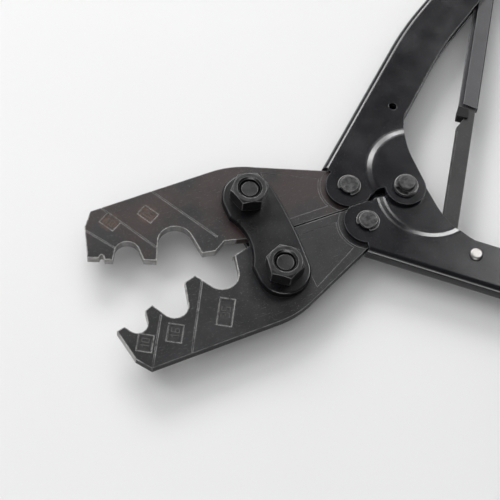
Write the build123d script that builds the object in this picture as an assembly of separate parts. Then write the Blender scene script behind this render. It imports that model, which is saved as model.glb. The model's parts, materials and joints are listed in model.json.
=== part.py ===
"""Heavy hand crimping tool with nested jaws, a bolted link and a ratchet stay.

Units are millimetres.  X runs along the tool's midline from the jaw pivots
towards the handles, Y points to the upper jaw's side and Z is up through the
plates.  Shapes are laid out with X = Y = 0 midway between the jaw pivots and
Z = 0 in the middle of the jaws' thickness.  They are saved with the origin on
the upper jaw pivot's axis, at the bolt head's resting face.  The tool is
modelled fully open.
"""
import math
import os

from build123d import *

# ---------------------------------------------------------------- pivots
PIVOT_Y = 21.0            # jaw pivots sit at (0, +-PIVOT_Y)
ARM_PIN = (48.8, 10.6)    # jaw-to-handle pin of the upper side
HANDLE_PIVOT = (74.3, 0.0)
MEET_ANGLE = 14.0         # swing that brings a jaw onto the midline, degrees

# ---------------------------------------------------------------- jaws
JAW_T = 4.4
BUSH_R = 7.0
BUSH_BORE_R = 5.05
HUB_HOLE_R = 7.05
TONGUE_T = 4.0            # milled down where the handle cheeks clasp it
TONGUE_R = 13.9
PANEL_DEPTH = 0.15        # shallow milled panel on each arm
PANEL_EDGE = 2.9          # its distance inside the arm's back edge
PANEL_LOW = 4.8           # its edge beside the midline
PANEL_START = 12.0
PANEL_END_R = 15.0        # it stops at an arc round the arm pin
BOSS_R = 9.0
PIN_R = 3.5
PIN_HOLE_R = 3.55
INNER_GAP = 0.35          # arm edge to midline when open
MEET_GAP = 0.5            # jaw edge to midline beside the link when closed
ARM_EDGE_ANGLE = -27.3    # back edge of the tapering arm
ARM_EDGE_AT = (30.2, 27.1)
ARM_EDGE_BEND_R = 45.0
SCRIBE_W = 0.5
SCRIBE_DEPTH = 0.25
SCRIBE_ANGLE = 60.0
STAMP_DEPTH = 0.2

# Teeth and nests are laid out with the jaws closed on the midline, seen from
# the midline: (start x, start height, end x, end height), positive = recessed.
UPPER_TEETH = [
    (-79.1, -0.9, -73.7, -1.7),
    (-71.3, -3.0, -67.5, -3.4),
    (-53.4, -5.1, -47.5, -6.2),
    (-25.8, -4.8, -19.5, -4.4),
]
# (centre x, centre depth, radius, tooth before, tooth after)
UPPER_NESTS = [(-72.5, -1.2, 0.9, 0, 1), (-60.6, -0.5, 5.8, 1, 2), (-37.4, 2.6, 8.3, 2, 3)]
LOWER_TEETH = [
    (-80.1, 1.4, -76.1, 1.5),
    (-63.9, 0.3, -59.5, -0.3),
    (-40.5, -1.3, -34.5, -1.5),
    (-13.0, 0.6, -11.5, 0.6),
]
LOWER_NESTS = [(-70.3, 3.6, 4.7, 0, 1), (-51.2, 5.6, 6.4, 1, 2), (-23.8, 4.8, 8.0, 2, 3)]

# Nose and back of each jaw, jaws open: nose top, chamfer end, back height
UPPER_NOSE = ((-77.7, 34.7), (-72.3, 41.6), 42.3)
LOWER_NOSE = ((-79.4, 37.2), (-74.2, 44.0), 43.2)

# Scribed step lines (from, to) and stamped fields (centre, across, along) on
# each jaw's face; a field's long side runs with the scribed lines
UPPER_SCRIBES = [
    ((-78.8, 33.9), (-66.0, 15.9)),
    ((-67.3, 42.3), (-50.3, 12.8)),
    ((-41.5, 42.3), (-21.4, 8.0)),
]
LOWER_SCRIBES = [((-54.7, 43.2), (-36.7, 10.9)), ((-73.7, 43.5), (-61.0, 20.9))]
UPPER_STAMPS = [((-65.7, 33.0), 6.0, 8.0), ((-47.4, 30.8), 6.0, 8.0)]
LOWER_STAMPS = [
    ((-72.7, 31.3), 7.0, 8.5),
    ((-58.3, 31.6), 7.0, 9.0),
    ((-32.7, 30.0), 7.0, 14.0),
]

# ---------------------------------------------------------------- link
LINK_GAP = 4.6            # between the inner faces of the link plates
LINK_T = 4.0
LINK_LOBE_R = 12.8
LINK_BULGE = 1.05         # the straight side swells this far past the lobes
LINK_WAIST_X = -8.8
LINK_WAIST_R = 26.3
LINK_EDGE_R = 1.1
BOLT_R = 5.0
BOLT_HOLE_R = 5.05
HEX_AF = 16.0
NUT_H = 8.2
HEAD_H = 6.4
BOLT_RECESS = 1.3         # bolt end below the top of the nut
BOLT_CHAMFER = 1.1
NUT_SINK = 0.9            # countersink round the nut's bore
NUT_TURN = (46.0, 23.0)   # how each nut happens to stand, degrees
HEAD_TURN = (12.0, 37.0)

# ---------------------------------------------------------------- handles
SHEET = 2.0
CHANNEL_GAP = 4.2         # between the cheeks
CHANNEL_DEPTH = 23.5
BEND_R = 3.4              # outer bend radius of the folded channel
HANDLE_ANGLE = 40.4
PIN_DEPTH = 16.0          # depth of the pin line below the channel's back
WEB_START = 3.3
LOBE_R = 11.4
PIVOT_LOBE_R = 10.0
LOBE_FLAT_Y = 0.2
RELIEF_R = 2.2
RELIEF_AT = (2.1, 1.9)    # relief hole where the folded back ends
# Edge from the pivot lobe to the arm lobe on the upper and the lower handle
UPPER_EDGE = ((64.2, 3.3), (61.1, 3.8), (56.6, 2.2))
LOWER_EDGE = ((64.4, 0.3), (56.6, 0.3))
THROAT = (84.6, 11.0)     # inner edge just behind the pivot lobe
THROAT_MID = (86.4, 24.4)
EDGE_START = 51.5         # where the straight inner edge begins
JOGGLE = 1.05             # cheeks step sideways so the two handles can lap
JOGGLE_AT = (84.0, 6.0)
JOGGLE_IN_R = 21.6
JOGGLE_OUT_R = 26.2
JOGGLE_CURVE = ((0.0, 1.0), (0.25, 0.86), (0.75, 0.14), (1.0, 0.0))   # (way out, height)
PLATE_REACH = 90.0
SWEEP_START = 88.0        # the handle cranks inward here
SWEEP_R = 180.0
SWEEP_ANGLE = 9.0
REAR_LENGTH = 168.0       # straight part behind the crank
STAY_HOLE = (53.6, 16.0)  # rivet hole along and across the channel
STAY_HOLE_R = 2.03
SLEEVE_HOLE = (48.354, 16.0)   # hole for the sleeve's pin, behind the crank
SLEEVE_HOLE_R = 2.53
LAP_HOLE_R = 3.53         # pivot hole that grips the pin
OPEN_HOLE_R = 4.5         # pivot hole with room for the opened linkage

# ---------------------------------------------------------------- pins
CLIP_R = 5.6
CLIP_T = 0.9
CLIP_OPENING = 76.0       # open sector of the snap ring, degrees
CLIP_TURN = 215.0         # where the opening faces
PIN_FIT = 0.03            # room between a pin and what it carries
ARM_HEAD_R = 4.6
ARM_HEAD_H = 0.95
ARM_BACK_R = 5.4          # forged head on the far side
ARM_BACK_H = 1.5
PIVOT_RING_R = 5.9
PIVOT_RING_H = 1.6
PIVOT_HEAD_R = 4.2
PIVOT_HEAD_H = 1.6
PIVOT_NECK = 0.35         # neck left bare between the snap ring and the head
SPACER_R = 7.0
RIVET_R = 2.0
RIVET_HEAD_R = 3.3
RIVET_HEAD_H = 1.4

# ---------------------------------------------------------------- stay
STAY_ANGLE = 55.2
STAY_OFFSET = 14.12       # rivet centre to the bar's centre line
BAR_W = 8.2
BAR_T = 1.9
BAR_LENGTH = 127.0
FOOT_HALF = 5.6
FOOT_END = 8.6
FOOT_SLOT_W = 5.0
FOOT_SLOT_L = 11.2
RACK_START = 16.0
RACK_TEETH = 42
RACK_PITCH = 1.3
RACK_DEPTH = 1.2
SHOULDER = (72.3, 78.6)   # the bar narrows to its neck between these runs
NECK_W = 5.1
SLEEVE_MOUTH = (85.6, 87.3)   # run of the mouth at the sleeve's right and left
SLEEVE_PIN_AT = 178.62
SLEEVE_TAIL = 7.0
SLEEVE_WALL = 0.9
SLEEVE_T = 4.0
SLEEVE_LEFT = 18.6        # reach of the back wall
SLEEVE_FRONT_LEFT = 16.7  # reach of the front wall
SLEEVE_CLEAR = 0.1
PAWL_AT = (93.2, 14.2)
PAWL_R = 3.6
PAWL_T = 1.2              # pawl plate behind the sleeve
PAWL_FROM = 78.8          # the saddle over the bar spans these runs
PAWL_TO = 84.3
PAWL_RIGHT = 13.4
PAWL_WEB = 0.7
PAWL_GAP = 0.08           # between the pawl and the rack's crests
SADDLE_T = 1.0
PAWL_PIN_R = 1.5
PAWL_HEAD_R = 3.2
PAWL_HEAD_H = 0.8
SPRING_R = 1.7
SPRING_WIRE_R = 0.35
SPRING_TURNS = 2.5
SLEEVE_PIN_R = 2.5
SLEEVE_PIN_HEAD_R = 3.9
SLEEVE_PIN_HEAD_H = 1.3

# ---------------------------------------------------------------- grips
GRIP_START = 66.0         # behind the crank
GRIP_WALL = 2.6
GRIP_FIT = 0.05
GRIP_CAP = 5.0
GRIP_CORNER_R = 6.0
FLANGE_LENGTH = 6.0
FLANGE_GROW = 2.4

OUT = "parts"
BIG = 200.0
HALF_CHEEK = CHANNEL_GAP / 2 + SHEET
REST = LINK_GAP / 2 + LINK_T + HEAD_H    # resting face below the jaws' middle
SPACER_H = CHANNEL_GAP - 2 * JOGGLE - 0.1


def save(name, shape):
    """Write one named piece."""
    placed = Pos(0, -PIVOT_Y, REST) * shape
    export_step(placed, os.path.join(OUT, name + ".step"))


def slab(face, low, high):
    """A face in the XY plane made solid between two heights."""
    return extrude(Pos(0, 0, low) * face, high - low)


def rod(x, y, radius, low, high):
    """An upright cylinder between two heights."""
    return slab(Pos(x, y) * Circle(radius), low, high)


def tube(x, y, outer, inner, low, high):
    """An upright ring between two heights."""
    return slab(Pos(x, y) * (Circle(outer) - Circle(inner)), low, high)


def turned(point, centre, degrees):
    """A point turned about a centre."""
    a = math.radians(degrees)
    dx = point[0] - centre[0]
    dy = point[1] - centre[1]
    x = centre[0] + dx * math.cos(a) - dy * math.sin(a)
    y = centre[1] + dx * math.sin(a) + dy * math.cos(a)
    return (x, y)


def opened(point):
    """A point of the closed jaw layout moved to the open jaw."""
    return turned(point, (0.0, PIVOT_Y), -MEET_ANGLE)


def touch(point, centre, radius, side):
    """Where a line from a point touches a circle; side is +1 or -1."""
    dx = point[0] - centre[0]
    dy = point[1] - centre[1]
    spread = math.acos(radius / math.hypot(dx, dy))
    a = math.atan2(dy, dx) + side * spread
    return (centre[0] + radius * math.cos(a), centre[1] + radius * math.sin(a))


def filled(points):
    """A face bounded by straight edges."""
    return make_face(Polyline(*points, close=True).edges())


# ================================================================ jaws
def nest(spec, teeth):
    """Round-bottomed nest between two teeth, open towards the midline."""
    centre = (spec[0], spec[1])
    radius = spec[2]
    before = teeth[spec[3]][2:4]
    after = teeth[spec[4]][0:2]
    left = touch(before, centre, radius, -1)
    right = touch(after, centre, radius, 1)
    mouth = [before, left, right, after]
    hollow = filled([opened(p) for p in mouth])
    c = opened(centre)
    return hollow + Pos(c[0], c[1]) * Circle(radius)


def jaw_outline(nose, teeth, nests):
    """Jaw seen from above in the open pose, on the side of positive Y."""
    lean = math.radians(ARM_EDGE_ANGLE)
    back_y = nose[2]
    corner_x = ARM_EDGE_AT[0] + (back_y - ARM_EDGE_AT[1]) / math.tan(lean)
    set_back = ARM_EDGE_BEND_R * math.tan(-lean / 2)
    arc_start = (corner_x - set_back, back_y)
    arc_end = (corner_x + set_back * math.cos(lean), back_y + set_back * math.sin(lean))
    arm_end = (ARM_PIN[0] + BOSS_R * math.sin(-lean), ARM_PIN[1] + BOSS_R * math.cos(lean))
    edge = []
    for tooth in teeth:
        edge.append(opened(tooth[0:2]))
        edge.append(opened(tooth[2:4]))
    edge.append(opened((-14.5, MEET_GAP)))
    edge.append(opened((4.0, MEET_GAP)))
    edge.append((0.0, INNER_GAP))
    edge.append((ARM_PIN[0] - 3.0, INNER_GAP))
    edge.append(ARM_PIN)
    edge.append(arm_end)
    lines = Polyline(*edge, arc_end)
    bend = JernArc(arc_end, (-math.cos(lean), -math.sin(lean)), ARM_EDGE_BEND_R, -ARM_EDGE_ANGLE)
    back = Polyline(bend @ 1, nose[1], nose[0], edge[0])
    face = make_face(lines.edges() + bend.edges() + back.edges())
    face += Pos(*ARM_PIN) * Circle(BOSS_R)
    for spec in nests:
        face -= nest(spec, teeth)
    face -= Pos(0, PIVOT_Y) * Circle(HUB_HOLE_R)
    face -= Pos(*ARM_PIN) * Circle(PIN_HOLE_R)
    return face


def panel():
    """Outline of the shallow panel on an arm, on the side of positive Y."""
    lean = math.radians(ARM_EDGE_ANGLE)
    drop = PANEL_EDGE / math.cos(lean)
    edge = []
    for x in (PANEL_START, ARM_PIN[0]):
        edge.append((x, ARM_EDGE_AT[1] - drop + (x - ARM_EDGE_AT[0]) * math.tan(lean)))
    face = filled([*edge, (ARM_PIN[0], PANEL_LOW), (PANEL_START, PANEL_LOW)])
    return face - Pos(*ARM_PIN) * Circle(PANEL_END_R)


def jaw(nose, teeth, nests, scribes, stamps):
    """Jaw plate with its milled tongue and panels, scribed lines and stamps."""
    top = JAW_T / 2
    body = slab(jaw_outline(nose, teeth, nests), -top, top)
    milled = tube(*ARM_PIN, TONGUE_R, 0.01, TONGUE_T / 2, JAW_T)
    milled += slab(panel(), top - PANEL_DEPTH, JAW_T)
    body -= milled
    body -= mirror(milled, about=Plane.XY)
    for start, end in scribes:
        length = math.dist(start, end)
        spot = Pos((start[0] + end[0]) / 2, (start[1] + end[1]) / 2)
        lean = math.degrees(math.atan2(end[1] - start[1], end[0] - start[0]))
        line = spot * Rot(0, 0, lean) * Rectangle(length, SCRIBE_W)
        body -= slab(line, top - SCRIBE_DEPTH, JAW_T)
    for spot, across, length in stamps:
        mark = Pos(*spot) * Rot(0, 0, -SCRIBE_ANGLE) * Rectangle(length, across)
        body -= slab(mark, top - STAMP_DEPTH, JAW_T)
    return body


# ================================================================ link
def link_plate():
    """Waisted plate that ties the two jaw pivots together."""
    lobes = Circle(LINK_LOBE_R)
    face = Pos(0, PIVOT_Y) * lobes + Pos(0, -PIVOT_Y) * lobes
    face += Pos(-LINK_LOBE_R / 2, 0) * Rectangle(LINK_LOBE_R, 2 * PIVOT_Y)
    setback = (PIVOT_Y ** 2 - LINK_BULGE ** 2) / (2 * LINK_BULGE)
    flank = Pos(-setback, 0) * Circle(LINK_LOBE_R + LINK_BULGE + setback)
    touch_y = PIVOT_Y * (1 + LINK_LOBE_R / (setback + LINK_BULGE))
    face += flank & (Pos(LINK_LOBE_R, 0) * Rectangle(2 * LINK_LOBE_R, 2 * touch_y))
    face -= Pos(LINK_WAIST_X - LINK_WAIST_R, 0) * Circle(LINK_WAIST_R)
    for side in (1, -1):
        face -= Pos(0, side * PIVOT_Y) * Circle(BOLT_HOLE_R)
    low = LINK_GAP / 2
    body = slab(face, low, low + LINK_T)
    rim = body.faces().sort_by(Axis.Z)[-1].outer_wire().edges()
    return fillet(rim, LINK_EDGE_R)


def hexagon(turn, bore):
    """Hexagon across HEX_AF, with a bore if one is given."""
    face = Rot(0, 0, turn) * RegularPolygon(HEX_AF / math.sqrt(3), 6)
    if bore:
        face -= Circle(bore)
    return face


def crowned(body, low, high):
    """Round off a hexagon's corners at the given heights."""
    corner = HEX_AF / math.sqrt(3)
    rise = (corner - HEX_AF / 2) * 0.6
    flat_r = HEX_AF / 2 - 0.3
    points = [(0, low), (flat_r, low), (corner, low + rise), (corner, high - rise)]
    points += [(flat_r, high), (0, high)]
    cone = revolve(Plane.XZ * filled(points), Axis.Z, 360)
    return body & cone


def nut(turn):
    """Hexagon nut standing on the front link plate."""
    low = LINK_GAP / 2 + LINK_T
    top = low + NUT_H
    body = crowned(slab(hexagon(turn, BOLT_HOLE_R), low, top), low, top)
    sink = [(0, top - NUT_SINK), (BOLT_HOLE_R, top - NUT_SINK)]
    sink += [(BOLT_HOLE_R + NUT_SINK, top), (0, top)]
    return body - revolve(Plane.XZ * filled(sink), Axis.Z, 360)


def bolt(turn):
    """Hexagon bolt that enters from the back link plate."""
    under = -(LINK_GAP / 2 + LINK_T)
    head = crowned(slab(hexagon(turn, 0), under - HEAD_H, under), under - HEAD_H, under)
    end = -under + NUT_H - BOLT_RECESS
    shank = rod(0, 0, BOLT_R, under, end)
    shank = chamfer(shank.faces().sort_by(Axis.Z)[-1].edges(), BOLT_CHAMFER)
    return head + shank


# ================================================================ handles
FRONT = Pos(*ARM_PIN, 0) * Rot(0, 0, HANDLE_ANGLE) * Pos(0, PIN_DEPTH, 0)
CRANK = (SWEEP_START, -(PIN_DEPTH + SWEEP_R))
REAR = FRONT * Pos(*CRANK, 0) * Rot(0, 0, -SWEEP_ANGLE) * Pos(0, -CRANK[1], 0)


def along(frame, run, depth):
    """World XY of a point on the handle: run along it, depth from its back."""
    spot = (frame * Pos(run, -depth, 0)).position
    return (spot.X, spot.Y)


def channel_section(depth):
    """Folded channel in the YZ plane, its back at Y = 0 and its mouth at -Y."""
    outer = fillet(Rectangle(2 * depth, 2 * HALF_CHEEK).vertices(), BEND_R)
    hollow = Rectangle(2 * (depth - SHEET), CHANNEL_GAP)
    inner = fillet(hollow.vertices(), BEND_R - SHEET)
    keep = Pos(depth / 2, 0) * Rectangle(depth, 3 * HALF_CHEEK)
    return Plane.YZ * (Pos(-depth, 0) * ((outer - inner) & keep))


def cheek_outline(edge_points):
    """Front end of a handle cheek, up to where the crank begins."""
    start = along(FRONT, WEB_START, BEND_R)
    far_back = along(FRONT, SWEEP_START, BEND_R)
    far_edge = along(FRONT, SWEEP_START, CHANNEL_DEPTH)
    edge = along(FRONT, EDGE_START, CHANNEL_DEPTH)
    tip = (HANDLE_PIVOT[0] + PIVOT_LOBE_R, 0)
    back = Polyline(start, far_back, far_edge, edge)
    throat = ThreePointArc(edge, THROAT_MID, THROAT)
    front = Polyline(THROAT, tip, HANDLE_PIVOT, *edge_points, start)
    face = make_face(back.edges() + throat.edges() + front.edges())
    face += Pos(*HANDLE_PIVOT) * Circle(PIVOT_LOBE_R)
    above = Pos(ARM_PIN[0], LOBE_FLAT_Y + LOBE_R) * Rectangle(4 * LOBE_R, 2 * LOBE_R)
    face += (Pos(*ARM_PIN) * Circle(LOBE_R)) & above
    return face


def stepped_plate(low):
    """Flat sheet that steps sideways inside a circle, bottom at a height."""
    high = low + SHEET
    profile = []
    for share, rise in JOGGLE_CURVE:
        radius = JOGGLE_IN_R + share * (JOGGLE_OUT_R - JOGGLE_IN_R)
        profile.append((radius, rise * JOGGLE))
    bottom = [(r, low + z) for r, z in profile]
    top = [(r, high + z) for r, z in reversed(profile)]
    points = [(0, low + JOGGLE), *bottom, (PLATE_REACH, low)]
    points += [(PLATE_REACH, high), *top, (0, high + JOGGLE)]
    disc = revolve(Plane.XZ * filled(points), Axis.Z, 360)
    return Pos(*JOGGLE_AT, 0) * disc


def handle(pivot_hole_r, edge_points):
    """Channel handle with lapping cheeks at its front end."""
    front = slab(cheek_outline(edge_points), -3 * HALF_CHEEK, 3 * HALF_CHEEK)
    body = front & stepped_plate(CHANNEL_GAP / 2)
    body += front & stepped_plate(-HALF_CHEEK)
    ridge = Pos(WEB_START, 0, 0) * extrude(channel_section(BEND_R + 1), SWEEP_START - WEB_START)
    body += FRONT * ridge
    full = channel_section(CHANNEL_DEPTH)
    centre = Axis((SWEEP_START, CRANK[1], 0), (0, 0, -1))
    body += FRONT * revolve(Pos(SWEEP_START, 0, 0) * full, centre, SWEEP_ANGLE)
    body += REAR * extrude(full, REAR_LENGTH)
    relief = along(FRONT, *RELIEF_AT)
    body -= rod(*relief, RELIEF_R, -BIG, BIG)
    body -= rod(*ARM_PIN, PIN_R + PIN_FIT, -BIG, BIG)
    body -= rod(*HANDLE_PIVOT, pivot_hole_r, -BIG, BIG)
    body -= rod(*along(FRONT, *STAY_HOLE), STAY_HOLE_R, -BIG, BIG)
    body -= rod(*along(REAR, *SLEEVE_HOLE), SLEEVE_HOLE_R, -BIG, BIG)
    return body


def flipped(body):
    """The same piece turned over for the lower side of the tool."""
    return Rot(180, 0, 0) * body


def snap_ring(x, y, low):
    """C-shaped ring snapped round a pin's neck."""
    half = math.radians(CLIP_OPENING / 2)
    reach = 2 * CLIP_R
    gap = filled([(0, 0), (reach, -reach * math.tan(half)), (reach, reach * math.tan(half))])
    face = Circle(CLIP_R) - Circle(PIN_R + PIN_FIT) - gap
    ring = slab(fillet(face.vertices(), 0.4), low, low + CLIP_T)
    return Pos(x, y, 0) * Rot(0, 0, CLIP_TURN) * ring


def arm_pin():
    """Pin between a jaw and its handle, with a disc head above its snap ring."""
    neck = HALF_CHEEK + CLIP_T + 0.05
    body = rod(*ARM_PIN, PIN_R, -HALF_CHEEK, neck)
    head = rod(*ARM_PIN, ARM_HEAD_R, neck, neck + ARM_HEAD_H)
    body += chamfer(head.faces().sort_by(Axis.Z)[-1].edges(), 0.3)
    back = rod(*ARM_PIN, ARM_BACK_R, -HALF_CHEEK - ARM_BACK_H, -HALF_CHEEK)
    return body + fillet(back.faces().sort_by(Axis.Z)[0].edges(), 0.7)


def pivot_pin():
    """Pin where the two handles lap."""
    seat = HALF_CHEEK + JOGGLE + PIVOT_RING_H
    neck = seat + CLIP_T + PIVOT_NECK
    body = rod(*HANDLE_PIVOT, PIN_R, -seat, neck)
    head = rod(*HANDLE_PIVOT, PIVOT_HEAD_R, neck, neck + PIVOT_HEAD_H)
    body += fillet(head.faces().sort_by(Axis.Z)[-1].edges(), 0.6)
    tail = rod(*HANDLE_PIVOT, ARM_BACK_R, -seat - ARM_BACK_H, -seat)
    return body + fillet(tail.faces().sort_by(Axis.Z)[0].edges(), 0.7)


def stay_rivet():
    """Bright rivet that carries the foot of the ratchet bar."""
    spot = along(FRONT, *STAY_HOLE)
    body = rod(spot[0], -spot[1], RIVET_R, -HALF_CHEEK, HALF_CHEEK)
    head = rod(spot[0], -spot[1], RIVET_HEAD_R, HALF_CHEEK, HALF_CHEEK + RIVET_HEAD_H)
    head = fillet(head.faces().sort_by(Axis.Z)[-1].edges(), 1.3)
    return body + head + mirror(head, about=Plane.XY)


# ================================================================ ratchet stay
STAY_FOOT = along(FRONT, *STAY_HOLE)
STAY = Pos(STAY_FOOT[0], -STAY_FOOT[1], 0) * Rot(0, 0, STAY_ANGLE)
BAR_RIGHT = STAY_OFFSET - BAR_W / 2
BAR_LEFT = STAY_OFFSET + BAR_W / 2


def bar():
    """Toothed flat bar with an angled foot that hangs on the rivet."""
    run = SHOULDER[0] + FOOT_HALF
    strip = Pos(run / 2 - FOOT_HALF, STAY_OFFSET) * Rectangle(run, BAR_W)
    strip = fillet(strip.vertices().sort_by(Axis.X)[:2], 2.0)
    neck = BAR_RIGHT + NECK_W
    ends = [(SHOULDER[0], BAR_RIGHT), (SHOULDER[0], BAR_LEFT), (SHOULDER[1], neck)]
    strip += filled([*ends, (BAR_LENGTH, neck), (BAR_LENGTH, BAR_RIGHT)])
    reach = BAR_LEFT + FOOT_END
    foot = Pos(0, BAR_LEFT - reach / 2) * Rectangle(2 * FOOT_HALF, reach)
    face = strip + fillet(foot.vertices(), 3.0)
    for i in range(RACK_TEETH):
        s = RACK_START + i * RACK_PITCH
        gap = [(s, BAR_LEFT + 0.5), (s + RACK_PITCH * 0.25, BAR_LEFT - RACK_DEPTH)]
        gap += [(s + RACK_PITCH * 0.85, BAR_LEFT), (s + RACK_PITCH * 0.85, BAR_LEFT + 0.5)]
        face -= filled(gap)
    face -= Rot(0, 0, 90) * SlotOverall(FOOT_SLOT_L, FOOT_SLOT_W)
    return STAY * slab(face, -BAR_T / 2, BAR_T / 2)


def sleeve():
    """Folded sleeve that the bar slides into, open on its left side."""
    right = BAR_RIGHT - SLEEVE_CLEAR - SLEEVE_WALL
    start = SLEEVE_MOUTH[0]
    end = SLEEVE_PIN_AT + SLEEVE_TAIL
    mid = (start + end) / 2
    shell = Pos(mid, (right + SLEEVE_LEFT) / 2) * Rectangle(end - start, SLEEVE_LEFT - right)
    walls = slab(shell, -SLEEVE_T / 2, SLEEVE_T / 2)
    spine = walls.edges().filter_by(Axis.X).group_by(Axis.Y)[0]
    walls = fillet(spine, 0.9)
    inside = Pos(mid, right + SLEEVE_WALL + BIG / 2) * Rectangle(BIG, BIG)
    gap = SLEEVE_T - 2 * SLEEVE_WALL
    walls -= slab(inside, -gap / 2, gap / 2)
    beyond = Pos(mid, SLEEVE_FRONT_LEFT + BIG / 2) * Rectangle(BIG, BIG)
    walls -= slab(beyond, 0, SLEEVE_T)
    slant = [(start, right), (SLEEVE_MOUTH[1], SLEEVE_LEFT), (start, SLEEVE_LEFT)]
    walls -= slab(filled(slant), -SLEEVE_T, SLEEVE_T)
    walls -= rod(SLEEVE_PIN_AT, STAY_OFFSET, SLEEVE_PIN_R + 0.05, -BIG, BIG)
    walls -= rod(*PAWL_AT, PAWL_PIN_R + PIN_FIT, -BIG, 0)
    return STAY * walls


def pawl():
    """Pawl under the sleeve whose saddle reaches round the toothed edge."""
    inner = BAR_LEFT + PAWL_GAP
    outer = inner + PAWL_WEB
    mid = ((PAWL_FROM + PAWL_TO) / 2, (PAWL_RIGHT + outer) / 2)
    block = Pos(*mid) * Rectangle(PAWL_TO - PAWL_FROM, outer - PAWL_RIGHT)
    block = fillet(block.vertices(), 0.6)
    web = block & (Pos(mid[0], inner + BIG / 2) * Rectangle(BIG, BIG))
    heel = (PAWL_AT[0] + 1.0, PAWL_AT[1] + PAWL_R)
    arm = filled([(PAWL_TO - 1, PAWL_RIGHT), (PAWL_AT[0], PAWL_AT[1] - PAWL_R), heel,
                  (PAWL_TO - 1, outer)])
    plate = block + arm + Pos(*PAWL_AT) * Circle(PAWL_R)
    plate -= Pos(*PAWL_AT) * Circle(PAWL_PIN_R + 0.05)
    high = -SLEEVE_T / 2 - 0.05
    low = high - PAWL_T
    saddle = BAR_T / 2 + 0.07
    body = slab(plate, low, high)
    body += slab(web, low, saddle + SADDLE_T)
    return STAY * (body + slab(block, saddle, saddle + SADDLE_T))


PAWL_LOW = -SLEEVE_T / 2 - 0.05 - PAWL_T
SPRING_PITCH = 2.2 * SPRING_WIRE_R
SPRING_RUN = SPRING_PITCH * SPRING_TURNS + 2 * SPRING_WIRE_R + 0.1


def pawl_pin():
    """Headed stud under the sleeve that the pawl swings on."""
    head = PAWL_LOW - SPRING_RUN
    body = rod(*PAWL_AT, PAWL_PIN_R, head, SLEEVE_WALL - SLEEVE_T / 2)
    return STAY * (body + rod(*PAWL_AT, PAWL_HEAD_R, head - PAWL_HEAD_H, head))


def pawl_spring():
    """Coiled wire spring around the stud, below the pawl."""
    radius = SPRING_R + SPRING_WIRE_R
    path = Helix(SPRING_PITCH, SPRING_PITCH * SPRING_TURNS, radius)
    wire = Plane(path @ 0, z_dir=path % 0) * Circle(SPRING_WIRE_R)
    coil = sweep(wire, path, is_frenet=True)
    low = PAWL_LOW - SPRING_RUN + SPRING_WIRE_R + 0.05
    return STAY * (Pos(*PAWL_AT, low) * coil)


def sleeve_pin():
    """Headed pin that hangs the sleeve inside the upper handle."""
    spot = along(REAR, *SLEEVE_HOLE)
    body = rod(*spot, SLEEVE_PIN_R, -HALF_CHEEK, HALF_CHEEK)
    head = rod(*spot, SLEEVE_PIN_HEAD_R, HALF_CHEEK, HALF_CHEEK + SLEEVE_PIN_HEAD_H)
    head = fillet(head.faces().sort_by(Axis.Z)[-1].edges(), 0.6)
    return body + head + mirror(head, about=Plane.XY)


# ================================================================ grips
def grip():
    """Moulded grip closed over the end of a handle."""
    wide = CHANNEL_DEPTH + 2 * (GRIP_WALL + GRIP_FIT)
    tall = 2 * (HALF_CHEEK + GRIP_WALL + GRIP_FIT)
    length = REAR_LENGTH + GRIP_CAP - GRIP_START
    section = fillet(Rectangle(wide, tall).vertices(), GRIP_CORNER_R)
    body = extrude(Plane.YZ * section, length)
    body = fillet(body.faces().sort_by(Axis.X)[-1].edges(), 3.0)
    rim = fillet(Rectangle(wide + FLANGE_GROW, tall + FLANGE_GROW).vertices(), GRIP_CORNER_R + 1)
    flange = extrude(Plane.YZ * rim, FLANGE_LENGTH)
    body += fillet(flange.edges().filter_by(Axis.X, reverse=True), 1.0)
    core = Rectangle(CHANNEL_DEPTH + 2 * GRIP_FIT, 2 * (HALF_CHEEK + GRIP_FIT))
    body -= extrude(Plane.YZ * core, length - GRIP_CAP)
    return REAR * (Pos(GRIP_START, -CHANNEL_DEPTH / 2, 0) * body)


# ================================================================ build
os.makedirs(OUT, exist_ok=True)

plate = link_plate()
save("link_plate_front", plate)
save("link_plate_back", mirror(plate, about=Plane.XY))

SIDES = (("upper", 1), ("lower", -1))
for index, (side, sign) in enumerate(SIDES):
    at_pivot = Pos(0, sign * PIVOT_Y, 0)
    save(side + "_jaw_nut", at_pivot * nut(NUT_TURN[index]))
    save(side + "_jaw_bolt", at_pivot * bolt(HEAD_TURN[index]))
    half = LINK_GAP / 2
    save(side + "_jaw_bush", at_pivot * tube(0, 0, BUSH_R, BUSH_BORE_R, -half, half))

upper_jaw = jaw(UPPER_NOSE, UPPER_TEETH, UPPER_NESTS, UPPER_SCRIBES, UPPER_STAMPS)
lower_jaw = jaw(LOWER_NOSE, LOWER_TEETH, LOWER_NESTS, LOWER_SCRIBES, LOWER_STAMPS)
save("upper_jaw", upper_jaw)
save("lower_jaw", mirror(lower_jaw, about=Plane.XZ))

save("upper_handle", handle(LAP_HOLE_R, UPPER_EDGE))
save("lower_handle", flipped(handle(OPEN_HOLE_R, LOWER_EDGE)))
save("upper_arm_pin", arm_pin())
save("lower_arm_pin", Pos(0, -2 * ARM_PIN[1], 0) * arm_pin())
save("handle_pivot_pin", pivot_pin())
seat = HALF_CHEEK + JOGGLE
ring = tube(*HANDLE_PIVOT, PIVOT_RING_R, PIN_R + PIN_FIT, seat, seat + PIVOT_RING_H)
save("pivot_washer_front", ring)
save("pivot_washer_back", mirror(ring, about=Plane.XY))
save("pivot_spacer", tube(*HANDLE_PIVOT, SPACER_R, PIN_R + PIN_FIT, -SPACER_H / 2, SPACER_H / 2))
save("upper_arm_clip", snap_ring(*ARM_PIN, HALF_CHEEK))
save("lower_arm_clip", snap_ring(ARM_PIN[0], -ARM_PIN[1], HALF_CHEEK))
save("pivot_clip", snap_ring(*HANDLE_PIVOT, seat + PIVOT_RING_H))

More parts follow.
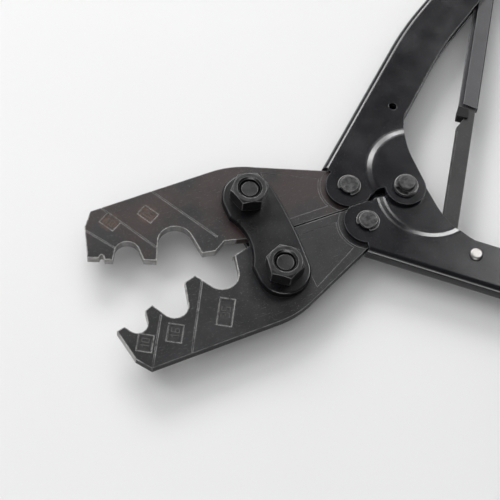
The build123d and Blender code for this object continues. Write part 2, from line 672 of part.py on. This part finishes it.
save("stay_rivet", stay_rivet())
save("ratchet_bar", bar())
save("ratchet_sleeve", sleeve())
save("pawl", pawl())
save("pawl_pin", pawl_pin())
save("pawl_spring", pawl_spring())
save("sleeve_pin", sleeve_pin())

upper_grip = grip()
save("upper_grip", upper_grip)
save("lower_grip", flipped(upper_grip))
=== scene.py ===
"""Looks of the heavy crimping tool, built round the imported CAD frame."""
import json
import math
from collections import namedtuple

import bmesh
import bpy
from mathutils import Matrix, Vector


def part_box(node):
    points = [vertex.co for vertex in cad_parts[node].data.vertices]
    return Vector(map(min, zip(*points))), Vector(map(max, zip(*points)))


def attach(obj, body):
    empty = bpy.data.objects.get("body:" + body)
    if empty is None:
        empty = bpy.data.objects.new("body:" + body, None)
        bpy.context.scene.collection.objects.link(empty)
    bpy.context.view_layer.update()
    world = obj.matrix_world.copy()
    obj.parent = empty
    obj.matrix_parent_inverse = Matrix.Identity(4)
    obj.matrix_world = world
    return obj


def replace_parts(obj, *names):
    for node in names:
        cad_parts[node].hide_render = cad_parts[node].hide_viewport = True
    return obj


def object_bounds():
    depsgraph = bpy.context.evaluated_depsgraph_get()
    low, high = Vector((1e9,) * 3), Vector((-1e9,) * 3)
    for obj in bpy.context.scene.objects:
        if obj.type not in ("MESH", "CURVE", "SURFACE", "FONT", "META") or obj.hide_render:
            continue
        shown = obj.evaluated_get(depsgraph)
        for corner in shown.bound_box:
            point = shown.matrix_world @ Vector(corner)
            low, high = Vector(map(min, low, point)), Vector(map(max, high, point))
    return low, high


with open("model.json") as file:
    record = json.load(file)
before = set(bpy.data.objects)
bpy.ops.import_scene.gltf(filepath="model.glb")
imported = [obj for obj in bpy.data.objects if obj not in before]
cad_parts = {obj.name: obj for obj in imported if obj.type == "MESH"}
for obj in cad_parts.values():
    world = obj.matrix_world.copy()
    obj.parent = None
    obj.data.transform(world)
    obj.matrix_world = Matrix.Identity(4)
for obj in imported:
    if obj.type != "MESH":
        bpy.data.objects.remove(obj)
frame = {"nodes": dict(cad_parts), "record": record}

CAD_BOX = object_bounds()
NODES = frame["nodes"]
MM = 0.001

# The tool lies flat. +X runs from the jaws to the grips, and its two halves lie
# on either side of the plane y = MIDLINE_Y.
JAW_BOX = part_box("upper_jaw")
JAW_TOP = JAW_BOX[1].z
JAW_MIDDLE = (JAW_BOX[0].z + JAW_BOX[1].z) / 2
MIDLINE_Y = (CAD_BOX[0].y + CAD_BOX[1].y) / 2

# The camera's place round the tool: angles in degrees, distances in metres.
CAM_AZIMUTH = -31.32
CAM_ELEVATION = 60.84
CAM_ROLL = 9.36
CAM_DISTANCE = 0.62797
CAM_TARGET = (-0.00966, -0.00416 + MIDLINE_Y, JAW_TOP)
CAM_LENS = 96.26
CAM_SENSOR = 36


# ------------------------------------------------------------ node helpers
class Nodes:
    """Short way to write a material's node tree; lengths are in metres."""

    def __init__(self, name):
        self.material = bpy.data.materials.new(name)
        self.material.use_nodes = True
        self.tree = self.material.node_tree
        self.tree.nodes.clear()
        self.shader = self.new("BsdfPrincipled")
        self.link(self.shader.outputs[0], self.new("OutputMaterial").inputs["Surface"])
        coords = self.new("TexCoord")
        self.point = coords.outputs["Object"]
        self.facing = coords.outputs["Normal"]

    def new(self, kind):
        return self.tree.nodes.new("ShaderNode" + kind)

    def link(self, source, target):
        self.tree.links.new(source, target)

    def put(self, socket, value):
        """Links an output to the socket, or sets the socket's own value."""
        if isinstance(value, bpy.types.NodeSocket):
            self.link(value, socket)
        elif isinstance(value, (tuple, list)) and socket.type == "RGBA":
            socket.default_value = (*value[:3], 1.0)
        else:
            socket.default_value = value

    def set(self, **values):
        """Sets inputs of the surface shader, named with underscores."""
        for key, value in values.items():
            self.put(self.shader.inputs[key.replace("_", " ")], value)

    def source_of(self, key):
        """The output that feeds an input of the surface shader."""
        return self.shader.inputs[key].links[0].from_socket

    def math(self, op, a, b=0.0, c=0.0):
        node = self.new("Math")
        node.operation = op
        for socket, value in zip(node.inputs, (a, b, c)):
            self.put(socket, value)
        return node.outputs[0]

    def times(self, a, b):
        return self.math("MULTIPLY", a, b)

    def vector_math(self, op, a, b):
        node = self.new("VectorMath")
        node.operation = op
        for socket, value in zip(node.inputs, (a, b)):
            self.put(socket, value)
        return node.outputs["Value"]

    def split(self, vector):
        """The three coordinates of a vector."""
        node = self.new("SeparateXYZ")
        self.link(vector, node.inputs[0])
        return node.outputs

    def mapped(self, stretch=(1, 1, 1), turn=0.0, offset=(0, 0, 0)):
        """Object coordinates, stretched, turned about Z and shifted."""
        node = self.new("Mapping")
        node.inputs["Scale"].default_value = stretch
        node.inputs["Rotation"].default_value = (0, 0, turn)
        node.inputs["Location"].default_value = offset
        self.link(self.point, node.inputs["Vector"])
        return node.outputs[0]

    def noise(self, scale, detail=3.0, rough=0.55, where=None):
        node = self.new("TexNoise")
        node.inputs["Scale"].default_value = scale
        node.inputs["Detail"].default_value = detail
        node.inputs["Roughness"].default_value = rough
        self.link(where or self.point, node.inputs["Vector"])
        return node.outputs["Fac"]

    def voronoi(self, scale):
        node = self.new("TexVoronoi")
        node.inputs["Scale"].default_value = scale
        self.link(self.point, node.inputs["Vector"])
        return node.outputs["Distance"]

    def ramp(self, fac, low, high, out_low=0.0, out_high=1.0):
        """Smooth step from out_low at low to out_high at high."""
        node = self.new("MapRange")
        node.interpolation_type = "SMOOTHSTEP"
        self.put(node.inputs["Value"], fac)
        values = (low, high, out_low, out_high)
        for key, value in zip(("From Min", "From Max", "To Min", "To Max"), values):
            node.inputs[key].default_value = value
        return node.outputs["Result"]

    def mix(self, fac, a, b):
        node = self.new("Mix")
        node.data_type = "RGBA"
        colour_a, colour_b = 6, 7  # places of the two colour sockets
        self.put(node.inputs[0], fac)
        self.put(node.inputs[colour_a], a)
        self.put(node.inputs[colour_b], b)
        return node.outputs[2]

    def bump(self, height, strength, distance, normal):
        node = self.new("Bump")
        node.inputs["Strength"].default_value = strength
        node.inputs["Distance"].default_value = distance
        self.link(height, node.inputs["Height"])
        self.link(normal, node.inputs["Normal"])
        return node.outputs[0]

    def rounded(self, radius):
        """Normal of the surface as if its edges were rounded."""
        node = self.new("Bevel")
        node.samples = 6
        node.inputs["Radius"].default_value = radius
        return node.outputs[0]

    def edges(self, radius, low=0.025, high=0.12):
        """1 along sharp edges, from how far the rounded normal leans away."""
        true_normal = self.new("NewGeometry").outputs["Normal"]
        agreement = self.vector_math("DOT_PRODUCT", self.rounded(radius), true_normal)
        return self.ramp(self.math("SUBTRACT", 1.0, agreement), low, high)


# ------------------------------------------------------------ materials
# Noise scales, in cells per metre
GRAIN_SCALE = 1100
SPECK_SCALE = 2300
SCRATCH_SCALE = 240
RUB_SCALE = 260
TINT_SCALE = 38

SCRATCH_STRETCH = 16
SPECK_GREY = (0.2, 0.195, 0.19)


def shaded(colour, factor):
    return tuple(channel * factor for channel in colour)


def dark_steel(
    name, base, worn, rough, metal=0.0, gloss=0.35, grain=0.5, round_mm=0.3, rub_mm=0.7,
    wear=0.9, clouds=0.3, cloud_scale=55, dust=0.25, scuffs=0.1, tint=None
):
    """Blackened or painted steel: cloudy tone, grain, specks and rubbed edges.

    A tint colours patches of the side above the midline only.
    """
    n = Nodes(name)
    cloud = n.noise(cloud_scale, 4, 0.6)
    colour = n.mix(n.ramp(cloud, 0.32, 0.68), shaded(base, 1 - clouds), shaded(base, 1 + clouds))
    if tint:
        patch = n.ramp(n.noise(TINT_SCALE, 3, 0.6, n.mapped(offset=(0.3, 0.1, 0.2))), 0.34, 0.60)
        above = n.ramp(n.split(n.point)[1], MIDLINE_Y - 2 * MM, MIDLINE_Y + 2 * MM)
        colour = n.mix(n.times(n.times(patch, above), 0.9), colour, tint)
    rub = n.times(n.edges(rub_mm * MM), n.ramp(n.noise(RUB_SCALE, 3), 0.3, 0.6, 0.35, 1.0))
    colour = n.mix(n.times(rub, wear), colour, worn)
    speck = n.ramp(n.noise(SPECK_SCALE, 1, 0.5), 0.68, 0.74)
    colour = n.mix(n.times(speck, dust), colour, SPECK_GREY)
    scratch = n.noise(SCRATCH_SCALE, 2, 0.6, n.mapped((1, SCRATCH_STRETCH, 1), 0.6))
    scratch = n.ramp(scratch, 0.66, 0.72)
    colour = n.mix(n.times(scratch, scuffs), colour, worn)
    roughness = n.math("MULTIPLY_ADD", cloud, 0.2, rough - 0.1)
    roughness = n.math("MULTIPLY_ADD", scratch, -0.08, roughness)
    fine = n.noise(GRAIN_SCALE, 2, 0.5)
    normal = n.bump(fine, grain * 0.35, 0.05 * MM, n.rounded(round_mm * MM))
    normal = n.bump(cloud, grain * 0.4, 0.25 * MM, normal)
    n.set(Base_Color=colour, Roughness=roughness, Metallic=metal)
    n.set(Normal=normal, Specular_IOR_Level=gloss)
    return n


def bare_steel(name, base, rough):
    """Bare steel with fine brushed lines and duller patches."""
    n = Nodes(name)
    lines = n.noise(420, 3, 0.6, n.mapped((1, 14, 1)))
    patches = n.noise(160, 3)
    colour = n.mix(n.times(lines, patches), base, shaded(base, 0.55))
    roughness = n.math("MULTIPLY_ADD", patches, 0.25, rough - 0.1)
    n.set(Base_Color=colour, Roughness=roughness, Metallic=0.95)
    n.set(Normal=n.bump(lines, 0.12, 0.1 * MM, n.rounded(0.2 * MM)))
    return n


# Size marks on the jaws. Lengths are in mm, and a centre is counted from the
# midline. The stain is the colour round the mark.
Mark = namedtuple("Mark", "name body centre turn number height frame stain")
RUST = (0.110, 0.058, 0.032)
GREY = (0.030, 0.029, 0.029)
LEAN = math.radians(60)
SIZE_MARKS = [
    Mark("upper_tip", "upper_jaw_body", (-65.7, 33.0), -LEAN, "10", 3.2, (7.0, 5.0), RUST),
    Mark("upper_mid", "upper_jaw_body", (-47.4, 30.8), -LEAN, "25", 3.2, (7.0, 5.0), RUST),
    Mark("lower_tip", "lower_jaw_body", (-72.7, -31.3), LEAN, "10", 3.4, (7.5, 6.0), GREY),
    Mark("lower_mid", "lower_jaw_body", (-58.3, -31.6), LEAN, "16", 3.6, (8.0, 6.0), GREY),
    Mark("lower_rear", "lower_jaw_body", (-32.7, -30.0), LEAN, "35", 4.0, (13.0, 6.0), GREY),
]

NESTS_END_X = -13.0 * MM      # the nests lie ahead of this
BITE_REACH = 38.5 * MM        # and this near the midline
BITE_FADE = 2.0 * MM


def stained_marks(n, colour):
    """Adds a dark and blotchy stain round each size mark."""
    blotches = n.ramp(n.noise(420, 4, 0.7), 0.34, 0.56)
    for mark in SIZE_MARKS:
        x, y = mark.centre
        distance = n.vector_math("DISTANCE", n.point, (x * MM, y * MM + MIDLINE_Y, JAW_TOP))
        patch = n.ramp(distance, 6.0 * MM, 2.6 * MM)
        colour = n.mix(n.times(patch, 0.45), colour, (0.014, 0.0138, 0.0145))
        colour = n.mix(n.times(n.times(patch, blotches), 0.8), colour, mark.stain)
    return colour


def jaw_steel():
    """Blackened jaw: brownish above the midline, rubbed bare round the nests."""
    n = dark_steel(
        "jaw_steel", (0.0105, 0.0105, 0.012), (0.30, 0.295, 0.29), 0.46, gloss=0.25, grain=1.2,
        round_mm=0.35, rub_mm=0.8, clouds=0.45, dust=0.45, scuffs=0.18,
        tint=(0.033, 0.0175, 0.0160)
    )
    x, y, _ = n.split(n.point)
    _, facing_y, facing_z = n.split(n.facing)
    from_midline = n.math("SUBTRACT", y, MIDLINE_Y)
    ahead = n.ramp(x, NESTS_END_X, NESTS_END_X - 1 * MM)

    # The walls of the nests, which face the midline
    inward = n.ramp(n.times(facing_y, n.math("SIGN", from_midline)), 0.45, 0.2)
    upright = n.ramp(n.math("ABSOLUTE", facing_z), 0.6, 0.3)
    mouth = n.times(n.times(inward, upright), ahead)
    streaks = n.noise(500, 3, 0.6, n.mapped((1, 1, 0.15)))
    bare = n.mix(streaks, (0.12, 0.117, 0.115), (0.48, 0.47, 0.46))
    tarnish = n.ramp(n.noise(190, 3), 0.5, 0.7)
    bare = n.mix(n.times(tarnish, 0.6), bare, (0.10, 0.085, 0.075))

    # The rims of the nests, rubbed unevenly
    across = n.math("ABSOLUTE", from_midline)
    biting = n.times(ahead, n.ramp(across, BITE_REACH + BITE_FADE, BITE_REACH))
    uneven = n.ramp(n.noise(330, 4, 0.7), 0.32, 0.54)
    rim = n.times(n.times(n.edges(1.3 * MM, 0.065, 0.125), biting), uneven)

    colour = n.mix(rim, stained_marks(n, n.source_of("Base Color")), (0.62, 0.61, 0.59))
    roughness = n.mix(mouth, n.source_of("Roughness"), (0.34, 0.34, 0.34))
    n.set(Base_Color=n.mix(mouth, colour, bare), Metallic=n.times(mouth, 0.85))
    n.set(Roughness=roughness)
    return n


def vinyl():
    """Black moulded vinyl with a fine leathery grain and a dull sheen."""
    n = Nodes("grip_vinyl")
    cloud = n.noise(45, 4)
    grain = n.voronoi(1300)
    scuff = n.ramp(n.noise(300, 4, 0.7), 0.58, 0.72)
    colour = n.mix(cloud, (0.006, 0.006, 0.0065), (0.011, 0.011, 0.0115))
    colour = n.mix(n.times(scuff, 0.2), colour, (0.05, 0.05, 0.052))
    normal = n.bump(grain, 0.5, 0.12 * MM, n.rounded(0.3 * MM))
    normal = n.bump(cloud, 0.3, 0.3 * MM, normal)
    n.set(Base_Color=colour, Roughness=n.math("MULTIPLY_ADD", scuff, 0.15, 0.5))
    n.set(Normal=normal, Specular_IOR_Level=0.3)
    return n


# dark_steel takes a name, its colour, the colour of worn edges and a roughness
MATERIALS = {
    "jaw_steel": jaw_steel(),
    "mark_steel": dark_steel("mark_steel", (0.030, 0.028, 0.027), (0.10, 0.096, 0.09), 0.5),
    "link_black": dark_steel(
        "link_black", (0.0030, 0.0030, 0.0042), (0.20, 0.20, 0.205), 0.30, gloss=0.4
    ),
    "fastener_black": dark_steel(
        "fastener_black", (0.0065, 0.0065, 0.0075), (0.34, 0.33, 0.32), 0.32, gloss=0.5,
        clouds=0.5, cloud_scale=260
    ),
    "handle_paint": dark_steel(
        "handle_paint", (0.0035, 0.0036, 0.0056), (0.13, 0.13, 0.135), 0.22, gloss=0.45,
        grain=0.3, round_mm=0.4, wear=0.6, clouds=0.2, dust=0.15
    ),
    "pin_steel": dark_steel(
        "pin_steel", (0.030, 0.0295, 0.030), (0.42, 0.41, 0.40), 0.34, metal=0.3, gloss=0.45,
        clouds=0.75, cloud_scale=420, dust=0.5, scuffs=0.3
    ),
    "sleeve_black": dark_steel("sleeve_black", (0.021, 0.0205, 0.025), (0.2, 0.2, 0.21), 0.42),
    # The pawl's worn-edge colour is kept nearly black and its gloss low. This is painted shade for
    # the shadow inside the sleeve's mouth, where the pawl sits.
    "pawl_steel": dark_steel(
        "pawl_steel", (0.003, 0.003, 0.003), (0.02, 0.018, 0.016), 0.5, gloss=0.12, dust=0.1
    ),
    "bar_steel": dark_steel(
        "bar_steel", (0.020, 0.018, 0.0175), (0.2, 0.195, 0.19), 0.45, gloss=0.2
    ),
    "bush_steel": bare_steel("bush_steel", (0.5, 0.5, 0.52), 0.35),
    "spring_steel": bare_steel("spring_steel", (0.4, 0.4, 0.42), 0.3),
    "rivet_bright": bare_steel("rivet_bright", (0.30, 0.29, 0.28), 0.34),
    "grip_vinyl": vinyl(),
}

for entry in frame["record"]["subparts"]:
    node = NODES[entry["node"]]
    node.data.materials.clear()
    node.data.materials.append(MATERIALS[entry["material_slot"]].material)


# ------------------------------------------------------------ mesh pieces
def piece(name, verts, faces, material, body, smooth=True):
    """A mesh object in the CAD frame that rides on a CAD body."""
    mesh = bpy.data.meshes.new(name)
    mesh.from_pydata(verts, [], faces)
    bm = bmesh.new()
    bm.from_mesh(mesh)
    bmesh.ops.recalc_face_normals(bm, faces=bm.faces)
    bm.to_mesh(mesh)
    bm.free()
    mesh.materials.append(MATERIALS[material].material)
    for face in mesh.polygons:
        face.use_smooth = smooth
    obj = bpy.data.objects.new(name, mesh)
    bpy.context.scene.collection.objects.link(obj)
    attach(obj, body)
    return obj


# ------------------------------------------------------------ grips
GRIP_AT = (192.8153 * MM, 122.2110 * MM + MIDLINE_Y)  # front end of the upper grip
GRIP_TURN = math.radians(31.4)
GRIP_LENGTH = 107.0 * MM
GRIP_HALF = (14.35 * MM, 6.7 * MM)   # half width and half thickness
GRIP_POWER = 3.4                     # how square the outline is
CORE_HALF = (11.80 * MM, 4.15 * MM)  # the handle inside the grip
CORE_POWER = 14
CAP_THICKNESS = 5.0 * MM

# Along the grip: a rounded nose, a raised lip, grooves and a domed tail
NOSE_ROUND = 1.2 * MM
LIP_FLAT = 5.0 * MM
LIP_FADE = 2.4 * MM
LIP_RISE = 1.1 * MM
TAIL_ROUND = 5.0 * MM
TAIL_DROP = 4.2 * MM
TAIL_DOME = 0.3 * MM
GROOVES = 9
GROOVE_FROM = 16.0 * MM
GROOVE_PITCH = 8.2 * MM
GROOVE_DEPTH = 0.8 * MM
GROOVE_HALF = 1.3 * MM
FINGER_TO = GRIP_LENGTH - 7.0 * MM
FINGER_PITCH = 21.0 * MM
FINGER_DEPTH = 0.9 * MM

AROUND = 64
ALONG = 220


def grip_swell(t):
    """Outward size at distance t from the front end, relative to the grip."""
    past_lip = min(1.0, max(0.0, (t - LIP_FLAT) / LIP_FADE))
    nose = max(0.0, NOSE_ROUND - t)
    tail = max(0.0, t - (GRIP_LENGTH - TAIL_ROUND)) / TAIL_ROUND
    swell = LIP_RISE * (1 - past_lip ** 2)
    swell -= nose ** 2 / NOSE_ROUND
    swell -= TAIL_DROP * (1 - math.sqrt(max(0.0, 1 - tail ** 2)))
    return swell


def grip_groove(t):
    """Depth of the grooves at distance t, 0 between them."""
    k = (t - GROOVE_FROM) / GROOVE_PITCH
    if k < 0 or k > GROOVES:
        return 0.0
    phase = abs(k - round(k)) * GROOVE_PITCH / GROOVE_HALF
    return GROOVE_DEPTH * max(0.0, 1 - phase ** 2)


def grip_finger(t):
    """Depth of the finger hollows in the inner side at distance t."""
    if not GROOVE_FROM < t < FINGER_TO:
        return 0.0
    return FINGER_DEPTH * (0.5 - 0.5 * math.cos(2 * math.pi * (t - GROOVE_FROM) / FINGER_PITCH))


def superellipse(angle, wide, high, power):
    """Point on a rounded box outline."""
    c = math.cos(angle)
    s = math.sin(angle)
    x = math.copysign(abs(c) ** (2 / power), c) * wide
    z = math.copysign(abs(s) ** (2 / power), s) * high
    return x, z


def grip_point(t, angle):
    """Point of the grip's outside at distance t, across the grip and up."""
    swell = grip_swell(t)
    x, z = superellipse(angle, GRIP_HALF[0] + swell, GRIP_HALF[1] + swell * 0.8, GRIP_POWER)
    inner = max(0.0, -math.cos(angle)) ** 2
    # The grooves run out over the wide faces
    band = max(0.0, 1 - (abs(z) / (GRIP_HALF[1] * 0.98)) ** 6)
    sunk = grip_groove(t) * (0.35 + 0.65 * band * abs(math.cos(angle)) ** 0.5)
    x *= 1 - sunk / GRIP_HALF[0] * 1.6
    z *= 1 - sunk / GRIP_HALF[1] * 0.5
    return x + grip_finger(t) * inner, z


def grip(name, side, body):
    """Moulded grip over the handle's end; side is 1 above the midline, -1 below."""
    verts = []
    faces = []
    turns = [2 * math.pi * i / AROUND for i in range(AROUND)]
    steps = [(i, (i + 1) % AROUND) for i in range(AROUND)]

    def place(t, across, z):
        x = GRIP_AT[0] + t * math.cos(GRIP_TURN) - across * math.sin(GRIP_TURN)
        y = GRIP_AT[1] + t * math.sin(GRIP_TURN) + across * math.cos(GRIP_TURN)
        if side < 0:
            y = 2 * MIDLINE_Y - y
        verts.append((x, y, JAW_MIDDLE + z))

    for j in range(ALONG + 1):
        t = GRIP_LENGTH * j / ALONG
        for angle in turns:
            place(t, *grip_point(t, angle))
    for j in range(ALONG):
        row = j * AROUND
        for i, k in steps:
            faces.append((row + i, row + k, row + AROUND + k, row + AROUND + i))

    tail = len(verts)
    last = ALONG * AROUND
    place(GRIP_LENGTH + TAIL_DOME, 0, 0)
    for i, k in steps:
        faces.append((last + i, last + k, tail))

    # The hollow that the handle fills, closed at its end by the cap
    core = len(verts)
    for t in (0.0, GRIP_LENGTH - CAP_THICKNESS):
        for angle in turns:
            place(t, *superellipse(angle, *CORE_HALF, CORE_POWER))
    core_end = core + AROUND
    for i, k in steps:
        faces.append((i, core + i, core + k, k))
        faces.append((core + i, core_end + i, core_end + k, core + k))
    floor_point = len(verts)
    place(GRIP_LENGTH - CAP_THICKNESS, 0, 0)
    for i, k in steps:
        faces.append((core_end + i, floor_point, core_end + k))
    return piece(name, verts, faces, "grip_vinyl", body)


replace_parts(grip("upper_grip_cover", 1, "upper_handle_body"), "upper_grip")
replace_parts(grip("lower_grip_cover", -1, "lower_handle_body"), "lower_grip")

# ------------------------------------------------------------ size marks
# Strokes of each digit on a grid two wide and four high, counted from its foot.
DIGITS = {
    "0": [[(0, 0), (2, 0), (2, 4), (0, 4), (0, 0)]],
    "1": [[(0.4, 3.2), (1.2, 4), (1.2, 0)]],
    "2": [[(0, 4), (2, 4), (2, 2), (0, 2), (0, 0), (2, 0)]],
    "3": [[(0, 4), (2, 4), (2, 0), (0, 0)], [(0.4, 2), (2, 2)]],
    "5": [[(2, 4), (0, 4), (0, 2), (2, 2), (2, 0), (0, 0)]],
    "6": [[(2, 4), (0, 4), (0, 0), (2, 0), (2, 2), (0, 2)]],
}
DIGIT_WIDTH = 2
DIGIT_HEIGHT = 4
DIGIT_STEP = 3
STROKE = 0.28 * MM          # half width at the foot of a stroke
FRAME_STROKE = STROKE * 0.5
STROKE_TAPER = 0.55
STROKE_LOW = JAW_TOP - 0.21 * MM
STROKE_HIGH = JAW_TOP - 0.05 * MM
BAR_FACES = ((0, 1, 3, 2), (4, 6, 7, 5), (0, 4, 5, 1), (2, 3, 7, 6), (0, 2, 6, 4), (1, 5, 7, 3))


def stroke(verts, faces, a, b, width):
    """A raised bar from a to b with slanted sides."""
    dx, dy = b[0] - a[0], b[1] - a[1]
    run = math.hypot(dx, dy)
    ux, uy = dx / run, dy / run
    base = len(verts)
    for z, w in ((STROKE_LOW, width), (STROKE_HIGH, width * STROKE_TAPER)):
        for end, sign in ((a, -1), (b, 1)):
            for flank in (-1, 1):
                x = end[0] + ux * sign * w - uy * flank * w
                y = end[1] + uy * sign * w + ux * flank * w
                verts.append((x, y, z))
    for quad in BAR_FACES:
        faces.append(tuple(base + corner for corner in quad))


def size_mark(mark):
    """Stamped size number inside a thin rectangular frame."""
    verts = []
    faces = []
    c, s = math.cos(mark.turn), math.sin(mark.turn)

    def at(p):
        return (mark.centre[0] * MM + p[0] * c - p[1] * s,
                mark.centre[1] * MM + MIDLINE_Y + p[0] * s + p[1] * c)

    half_w, half_h = (side / 2 * MM for side in mark.frame)
    corners = [(-half_w, -half_h), (half_w, -half_h), (half_w, half_h), (-half_w, half_h)]
    for a, b in zip(corners, corners[1:] + corners[:1]):
        stroke(verts, faces, at(a), at(b), FRAME_STROKE)

    unit = mark.height * MM / DIGIT_HEIGHT
    row_width = (len(mark.number) - 1) * DIGIT_STEP + DIGIT_WIDTH
    for k, digit in enumerate(mark.number):
        left = DIGIT_STEP * k - row_width / 2
        for line in DIGITS[digit]:
            points = [((x + left) * unit, (y - DIGIT_HEIGHT / 2) * unit) for x, y in line]
            for a, b in zip(points, points[1:]):
                stroke(verts, faces, at(a), at(b), STROKE)
    name = "size_mark_" + mark.name
    return piece(name, verts, faces, "mark_steel", mark.body, smooth=False)


for mark in SIZE_MARKS:
    size_mark(mark)

# ------------------------------------------------------------ floor and sky
FLOOR_HALF = 3.0
SKY_BLUE = (0.97, 0.985, 1.0, 1)
SKY_BRIGHT_SIDE = (-0.25, 0.62, 0.74)
SKY_STRENGTH = (0.20, 0.92)   # on the dark side and on the bright side
GLOSS_DIMMING = 0.85          # the sky is this much dimmer where gloss mirrors it


def make_floor():
    """Plain pale floor under the tool."""
    z = CAD_BOX[0].z
    corners = [(x * FLOOR_HALF, y * FLOOR_HALF, z) for x, y in ((-1, -1), (1, -1), (1, 1), (-1, 1))]
    mesh = bpy.data.meshes.new("floor")
    mesh.from_pydata(corners, [], [(0, 1, 2, 3)])
    floor = bpy.data.objects.new("floor", mesh)
    bpy.context.scene.collection.objects.link(floor)
    pale = Nodes("floor_pale")
    tone = pale.mix(pale.noise(6, 2), (0.785, 0.777, 0.773), (0.825, 0.819, 0.815))
    pale.set(Base_Color=tone, Roughness=0.7, Specular_IOR_Level=0.2)
    mesh.materials.append(pale.material)


def make_sky():
    """Soft sky that is brighter on one side and dimmer where gloss mirrors it."""
    world = bpy.data.worlds.new("studio")
    bpy.context.scene.world = world
    world.use_nodes = True
    tree = world.node_tree
    ambient = tree.nodes["Background"]
    ambient.inputs["Color"].default_value = SKY_BLUE

    def new(kind, operation=None):
        node = tree.nodes.new("ShaderNode" + kind)
        if operation:
            node.operation = operation
        return node

    toward = new("VectorMath", "DOT_PRODUCT")
    toward.inputs[1].default_value = Vector(SKY_BRIGHT_SIDE).normalized()
    tree.links.new(new("TexCoord").outputs["Generated"], toward.inputs[0])
    fade = new("MapRange")
    fade.interpolation_type = "SMOOTHSTEP"
    limits = (-0.15, 1.0, *SKY_STRENGTH)
    for key, value in zip(("From Min", "From Max", "To Min", "To Max"), limits):
        fade.inputs[key].default_value = value
    tree.links.new(toward.outputs["Value"], fade.inputs["Value"])
    dim = new("Math", "MULTIPLY_ADD")
    dim.inputs[1].default_value = -GLOSS_DIMMING
    dim.inputs[2].default_value = 1.0
    tree.links.new(new("LightPath").outputs["Is Glossy Ray"], dim.inputs[0])
    strength = new("Math", "MULTIPLY")
    tree.links.new(fade.outputs["Result"], strength.inputs[0])
    tree.links.new(dim.outputs[0], strength.inputs[1])
    tree.links.new(strength.outputs[0], ambient.inputs["Strength"])


make_floor()
make_sky()
bpy.context.scene.view_settings.view_transform = "Standard"

# ------------------------------------------------------------ lights
LIGHTS_AIM = (0.04, MIDLINE_Y, 0)


def softbox(name, place, size, power, lit=True):
    """Area light aimed at the tool. One that isn't lit is only seen mirrored."""
    data = bpy.data.lights.new(name, "AREA")
    data.shape = "RECTANGLE"
    data.size, data.size_y = size
    data.energy = power
    lamp = bpy.data.objects.new(name, data)
    bpy.context.scene.collection.objects.link(lamp)
    lamp.location = place
    aim = Vector(LIGHTS_AIM) - Vector(place)
    lamp.rotation_mode = "QUATERNION"
    lamp.rotation_quaternion = aim.to_track_quat("-Z", "Y")
    lamp.visible_diffuse = lit


softbox("window", (0.20, 1.25, 0.92), (1.0, 0.5), 11)
softbox("key", (-0.75, 0.75, 1.1), (0.8, 0.8), 5.5)
softbox("fill", (-0.9, -0.7, 0.9), (0.9, 0.9), 2)
softbox("sheen", (0.93, 0.33, 1.0), (0.35, 0.45), 10.5, lit=False)
softbox("glint", (0.80, 1.18, 0.74), (0.6, 0.3), 11, lit=False)
softbox("rim_sheen", (-0.6, -1.1, 0.6), (1.2, 0.3), 10, lit=False)
softbox("streak", (0.10, 1.2, 1.15), (0.35, 0.35), 7, lit=False)


# ------------------------------------------------------------ camera
def make_camera():
    """Camera that looks down on the jaws, rolled a little."""
    azimuth = math.radians(CAM_AZIMUTH)
    elevation = math.radians(CAM_ELEVATION)
    roll = math.radians(CAM_ROLL)
    flat = math.cos(elevation)
    back = Vector((math.sin(azimuth) * flat, -math.cos(azimuth) * flat, math.sin(elevation)))
    level = Vector((0, 0, 1)).cross(back).normalized()
    right = level * math.cos(roll) + back.cross(level) * math.sin(roll)
    top = back.cross(right)
    place = Vector(CAM_TARGET) + back * CAM_DISTANCE
    camera = bpy.data.objects.new("camera", bpy.data.cameras.new("camera"))
    bpy.context.scene.collection.objects.link(camera)
    rows = [(right[i], top[i], back[i], place[i]) for i in range(3)]
    camera.matrix_world = Matrix((*rows, (0, 0, 0, 1)))
    camera.data.lens = CAM_LENS
    camera.data.sensor_width = CAM_SENSOR
    bpy.context.scene.camera = camera


make_camera()
